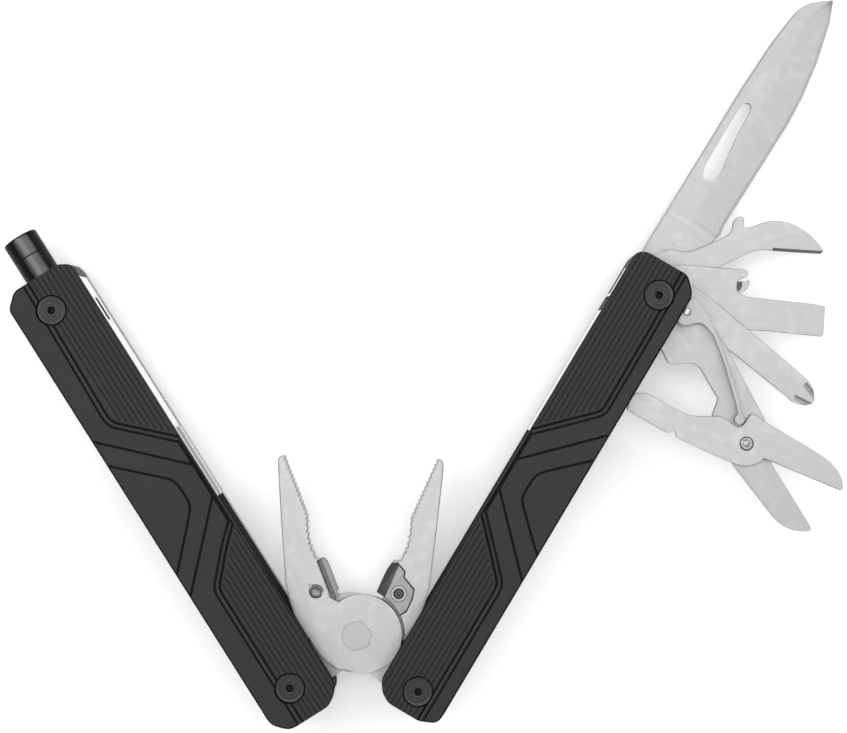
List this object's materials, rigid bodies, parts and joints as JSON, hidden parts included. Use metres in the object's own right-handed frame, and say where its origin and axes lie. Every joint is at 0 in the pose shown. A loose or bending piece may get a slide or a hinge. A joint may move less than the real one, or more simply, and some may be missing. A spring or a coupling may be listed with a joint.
{
  "type": "folding multi tool",
  "caption": "Folding multi tool: pliers between two black handles, a slide-out torch in one and a fan of fold-out blades, drivers and scissors in the other.",
  "frame": {"origin": "centre of the bounding box's underside, with the tool lying flat on its rear scales in the half-open pose", "axes": "+Z out of the front scales, +Y the way the handles and jaws point, +X from the torch handle towards the tool handle"},
  "size_m": [0.1728, 0.15, 0.0196],
  "materials": {
    "scale_black": "matt black anodised, machined pattern",
    "liner_steel": "satin",
    "screw_black": "turned, black oxide",
    "pin_steel": "turned",
    "spacer_brass": "plain",
    "jaw_steel": "bead blasted, satin",
    "cutter_dark": "dark hardened insert",
    "blade_steel": "satin, ground bevel",
    "tool_steel": "satin",
    "housing_alloy": "machined",
    "torch_black": "black anodised, satin",
    "lens_glass": "clear",
    "led_yellow": "phosphor dome on a white board",
    "battery_silver": "plated can"
  },
  "bodies": {
    "right_handle": {"right_scale_front": "scale_black", "right_scale_rear": "scale_black", "right_liner_front": "liner_steel", "right_liner_rear": "liner_steel", "right_pivot_screw_front": "screw_black", "right_pivot_screw_rear": "screw_black", "right_top_screw_front": "screw_black", "right_top_screw_rear": "screw_black", "right_pivot_pin": "pin_steel", "tool_pivot_pin": "pin_steel", "tool_pivot_spacer": "spacer_brass", "back_spring": "tool_steel"},
    "left_lever": {"plier_jaw_left": "jaw_steel", "cutter_insert_left": "cutter_dark", "cutter_pin_left": "cutter_dark", "plier_rivet": "pin_steel"},
    "right_lever": {"plier_jaw_right": "jaw_steel", "cutter_insert_right": "cutter_dark", "cutter_screw_right": "cutter_dark"},
    "left_handle": {"left_scale_front": "scale_black", "left_scale_rear": "scale_black", "left_liner_front": "liner_steel", "left_liner_rear": "liner_steel", "left_pivot_screw_front": "screw_black", "left_pivot_screw_rear": "screw_black", "left_top_screw_front": "screw_black", "left_top_screw_rear": "screw_black", "left_pivot_pin": "pin_steel", "torch_housing": "housing_alloy"},
    "torch": {"torch_barrel": "torch_black", "torch_bezel": "torch_black", "torch_lens": "lens_glass", "torch_led": "led_yellow", "torch_battery": "battery_silver", "torch_tailcap": "torch_black"},
    "knife": {"knife_blade": "blade_steel"},
    "hook": {"hook_tool": "tool_steel"},
    "opener": {"bottle_opener": "tool_steel"},
    "driver": {"phillips_driver": "tool_steel"},
    "scissors": {"scissors_frame": "tool_steel", "scissors_spring": "tool_steel", "scissors_spring_rivet": "pin_steel", "scissors_rivet": "pin_steel"},
    "scissors_arm": {"scissors_lever": "tool_steel"}
  },
  "joints": [
    {"name": "right_handle_fold", "type": "hinge", "parent": "right_handle", "child": "left_lever", "pos_m": [-0.00097, -0.06723, 0.0098], "axis": [0, 0, 1], "range_deg": [-51.9, 128]},
    {"name": "pliers_pivot", "type": "hinge", "parent": "left_lever", "child": "right_lever", "pos_m": [-0.01369, -0.0568, 0.0098], "axis": [0, 0, -1], "range_deg": [-45.3, 7]},
    {"name": "left_handle_fold", "type": "hinge", "parent": "right_lever", "child": "left_handle", "pos_m": [-0.02695, -0.06654, 0.0098], "axis": [0, 0, 1], "range_deg": [-56.4, 123.5]},
    {"name": "torch_slide", "type": "slide", "parent": "left_handle", "child": "torch", "axis": [-0.5336, 0.8457, 0], "range_m": [-0.0083, 0.025]},
    {"name": "knife_fold", "type": "hinge", "parent": "right_handle", "child": "knife", "pos_m": [0.04786, 0.01309, 0.0098], "axis": [0, 0, 1], "range_deg": [-180, 0]},
    {"name": "hook_fold", "type": "hinge", "parent": "right_handle", "child": "hook", "pos_m": [0.04786, 0.01309, 0.0098], "axis": [0, 0, 1], "range_deg": [-143, 34]},
    {"name": "opener_fold", "type": "hinge", "parent": "right_handle", "child": "opener", "pos_m": [0.04786, 0.01309, 0.0098], "axis": [0, 0, 1], "range_deg": [-115, 65]},
    {"name": "driver_fold", "type": "hinge", "parent": "right_handle", "child": "driver", "pos_m": [0.04786, 0.01309, 0.0098], "axis": [0, 0, 1], "range_deg": [-87.7, 92]},
    {"name": "scissors_fold", "type": "hinge", "parent": "right_handle", "child": "scissors", "pos_m": [0.04786, 0.01309, 0.0098], "axis": [0, 0, 1], "range_deg": [-61.7, 110]},
    {"name": "scissors_squeeze", "type": "hinge", "parent": "scissors", "child": "scissors_arm", "pos_m": [0.0664, -0.01718, 0.0098], "axis": [0, 0, 1], "range_deg": [-36, 4]}
  ]
}
